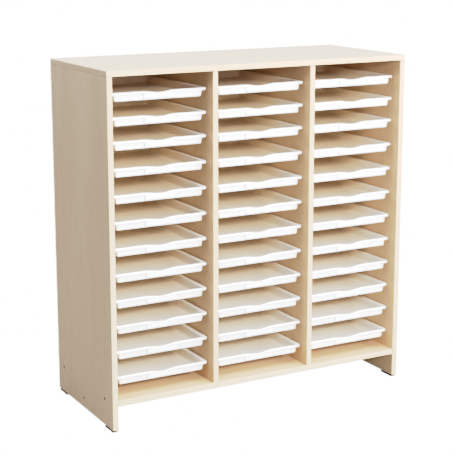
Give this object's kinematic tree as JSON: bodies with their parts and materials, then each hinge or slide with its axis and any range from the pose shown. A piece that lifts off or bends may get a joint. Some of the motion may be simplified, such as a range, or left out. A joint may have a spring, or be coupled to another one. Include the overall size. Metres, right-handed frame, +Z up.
{
  "type": "classroom tray storage unit",
  "caption": "Open wooden cabinet with columns of shallow white plastic trays that slide on runner strips, for sorting paper and classwork; stands on black pads.",
  "frame": {"origin": "on the floor under the middle of the unit", "axes": "+Z up, front with the tray openings towards -Y, +X to the right seen from the front"},
  "size_m": [0.96, 0.4, 1],
  "materials": {
    "board": "pale birch wood grain, satin, cream edge bands",
    "back_board": "thin plywood, matt",
    "tray_plastic": "white moulded plastic, satin",
    "pad_black": "black, matt",
    "screw_steel": "countersunk, bronzed"
  },
  "bodies": {
    "cabinet": {"side_left": "board", "side_right": "board", "divider_left": "board", "divider_right": "board", "top_panel": "board", "bottom_panel": "board", "base_rail": "board", "back_panel": "back_board", "pad_left_front": "pad_black", "pad_left_back": "pad_black", "pad_right_front": "pad_black", "pad_right_back": "pad_black", "screw_top_left_front": "screw_steel", "screw_top_left_middle": "screw_steel", "screw_top_right_front": "screw_steel", "screw_top_right_middle": "screw_steel", "screw_left_bottom_front": "screw_steel", "screw_left_bottom_back": "screw_steel", "screw_left_rail": "screw_steel", "screw_right_bottom_front": "screw_steel", "screw_right_bottom_back": "screw_steel", "screw_right_rail": "screw_steel"},
    "tray_left_01": {"tray_left_01": "tray_plastic"},
    "tray_left_02": {"tray_left_02": "tray_plastic"},
    "tray_left_03": {"tray_left_03": "tray_plastic"},
    "tray_left_04": {"tray_left_04": "tray_plastic"},
    "tray_left_05": {"tray_left_05": "tray_plastic"},
    "tray_left_06": {"tray_left_06": "tray_plastic"},
    "tray_left_07": {"tray_left_07": "tray_plastic"},
    "tray_left_08": {"tray_left_08": "tray_plastic"},
    "tray_left_09": {"tray_left_09": "tray_plastic"},
    "tray_left_10": {"tray_left_10": "tray_plastic"},
    "tray_left_11": {"tray_left_11": "tray_plastic"},
    "tray_left_12": {"tray_left_12": "tray_plastic"},
    "tray_middle_01": {"tray_middle_01": "tray_plastic"},
    "tray_middle_02": {"tray_middle_02": "tray_plastic"},
    "tray_middle_03": {"tray_middle_03": "tray_plastic"},
    "tray_middle_04": {"tray_middle_04": "tray_plastic"},
    "tray_middle_05": {"tray_middle_05": "tray_plastic"},
    "tray_middle_06": {"tray_middle_06": "tray_plastic"},
    "tray_middle_07": {"tray_middle_07": "tray_plastic"},
    "tray_middle_08": {"tray_middle_08": "tray_plastic"},
    "tray_middle_09": {"tray_middle_09": "tray_plastic"},
    "tray_middle_10": {"tray_middle_10": "tray_plastic"},
    "tray_middle_11": {"tray_middle_11": "tray_plastic"},
    "tray_middle_12": {"tray_middle_12": "tray_plastic"},
    "tray_right_01": {"tray_right_01": "tray_plastic"},
    "tray_right_02": {"tray_right_02": "tray_plastic"},
    "tray_right_03": {"tray_right_03": "tray_plastic"},
    "tray_right_04": {"tray_right_04": "tray_plastic"},
    "tray_right_05": {"tray_right_05": "tray_plastic"},
    "tray_right_06": {"tray_right_06": "tray_plastic"},
    "tray_right_07": {"tray_right_07": "tray_plastic"},
    "tray_right_08": {"tray_right_08": "tray_plastic"},
    "tray_right_09": {"tray_right_09": "tray_plastic"},
    "tray_right_10": {"tray_right_10": "tray_plastic"},
    "tray_right_11": {"tray_right_11": "tray_plastic"},
    "tray_right_12": {"tray_right_12": "tray_plastic"}
  },
  "joints": [
    {"name": "slide_left_01", "type": "slide", "parent": "cabinet", "child": "tray_left_01", "axis": [0, -1, 0], "range_m": [0, 0.31]},
    {"name": "slide_left_02", "type": "slide", "parent": "cabinet", "child": "tray_left_02", "axis": [0, -1, 0], "range_m": [0, 0.31]},
    {"name": "slide_left_03", "type": "slide", "parent": "cabinet", "child": "tray_left_03", "axis": [0, -1, 0], "range_m": [0, 0.31]},
    {"name": "slide_left_04", "type": "slide", "parent": "cabinet", "child": "tray_left_04", "axis": [0, -1, 0], "range_m": [0, 0.31]},
    {"name": "slide_left_05", "type": "slide", "parent": "cabinet", "child": "tray_left_05", "axis": [0, -1, 0], "range_m": [0, 0.31]},
    {"name": "slide_left_06", "type": "slide", "parent": "cabinet", "child": "tray_left_06", "axis": [0, -1, 0], "range_m": [0, 0.31]},
    {"name": "slide_left_07", "type": "slide", "parent": "cabinet", "child": "tray_left_07", "axis": [0, -1, 0], "range_m": [0, 0.31]},
    {"name": "slide_left_08", "type": "slide", "parent": "cabinet", "child": "tray_left_08", "axis": [0, -1, 0], "range_m": [0, 0.31]},
    {"name": "slide_left_09", "type": "slide", "parent": "cabinet", "child": "tray_left_09", "axis": [0, -1, 0], "range_m": [0, 0.31]},
    {"name": "slide_left_10", "type": "slide", "parent": "cabinet", "child": "tray_left_10", "axis": [0, -1, 0], "range_m": [0, 0.31]},
    {"name": "slide_left_11", "type": "slide", "parent": "cabinet", "child": "tray_left_11", "axis": [0, -1, 0], "range_m": [0, 0.31]},
    {"name": "slide_left_12", "type": "slide", "parent": "cabinet", "child": "tray_left_12", "axis": [0, -1, 0], "range_m": [0, 0.31]},
    {"name": "slide_middle_01", "type": "slide", "parent": "cabinet", "child": "tray_middle_01", "axis": [0, -1, 0], "range_m": [0, 0.31]},
    {"name": "slide_middle_02", "type": "slide", "parent": "cabinet", "child": "tray_middle_02", "axis": [0, -1, 0], "range_m": [0, 0.31]},
    {"name": "slide_middle_03", "type": "slide", "parent": "cabinet", "child": "tray_middle_03", "axis": [0, -1, 0], "range_m": [0, 0.31]},
    {"name": "slide_middle_04", "type": "slide", "parent": "cabinet", "child": "tray_middle_04", "axis": [0, -1, 0], "range_m": [0, 0.31]},
    {"name": "slide_middle_05", "type": "slide", "parent": "cabinet", "child": "tray_middle_05", "axis": [0, -1, 0], "range_m": [0, 0.31]},
    {"name": "slide_middle_06", "type": "slide", "parent": "cabinet", "child": "tray_middle_06", "axis": [0, -1, 0], "range_m": [0, 0.31]},
    {"name": "slide_middle_07", "type": "slide", "parent": "cabinet", "child": "tray_middle_07", "axis": [0, -1, 0], "range_m": [0, 0.31]},
    {"name": "slide_middle_08", "type": "slide", "parent": "cabinet", "child": "tray_middle_08", "axis": [0, -1, 0], "range_m": [0, 0.31]},
    {"name": "slide_middle_09", "type": "slide", "parent": "cabinet", "child": "tray_middle_09", "axis": [0, -1, 0], "range_m": [0, 0.31]},
    {"name": "slide_middle_10", "type": "slide", "parent": "cabinet", "child": "tray_middle_10", "axis": [0, -1, 0], "range_m": [0, 0.31]},
    {"name": "slide_middle_11", "type": "slide", "parent": "cabinet", "child": "tray_middle_11", "axis": [0, -1, 0], "range_m": [0, 0.31]},
    {"name": "slide_middle_12", "type": "slide", "parent": "cabinet", "child": "tray_middle_12", "axis": [0, -1, 0], "range_m": [0, 0.31]},
    {"name": "slide_right_01", "type": "slide", "parent": "cabinet", "child": "tray_right_01", "axis": [0, -1, 0], "range_m": [0, 0.31]},
    {"name": "slide_right_02", "type": "slide", "parent": "cabinet", "child": "tray_right_02", "axis": [0, -1, 0], "range_m": [0, 0.31]},
    {"name": "slide_right_03", "type": "slide", "parent": "cabinet", "child": "tray_right_03", "axis": [0, -1, 0], "range_m": [0, 0.31]},
    {"name": "slide_right_04", "type": "slide", "parent": "cabinet", "child": "tray_right_04", "axis": [0, -1, 0], "range_m": [0, 0.31]},
    {"name": "slide_right_05", "type": "slide", "parent": "cabinet", "child": "tray_right_05", "axis": [0, -1, 0], "range_m": [0, 0.31]},
    {"name": "slide_right_06", "type": "slide", "parent": "cabinet", "child": "tray_right_06", "axis": [0, -1, 0], "range_m": [0, 0.31]},
    {"name": "slide_right_07", "type": "slide", "parent": "cabinet", "child": "tray_right_07", "axis": [0, -1, 0], "range_m": [0, 0.31]},
    {"name": "slide_right_08", "type": "slide", "parent": "cabinet", "child": "tray_right_08", "axis": [0, -1, 0], "range_m": [0, 0.31]},
    {"name": "slide_right_09", "type": "slide", "parent": "cabinet", "child": "tray_right_09", "axis": [0, -1, 0], "range_m": [0, 0.31]},
    {"name": "slide_right_10", "type": "slide", "parent": "cabinet", "child": "tray_right_10", "axis": [0, -1, 0], "range_m": [0, 0.31]},
    {"name": "slide_right_11", "type": "slide", "parent": "cabinet", "child": "tray_right_11", "axis": [0, -1, 0], "range_m": [0, 0.31]},
    {"name": "slide_right_12", "type": "slide", "parent": "cabinet", "child": "tray_right_12", "axis": [0, -1, 0], "range_m": [0, 0.31]}
  ]
}
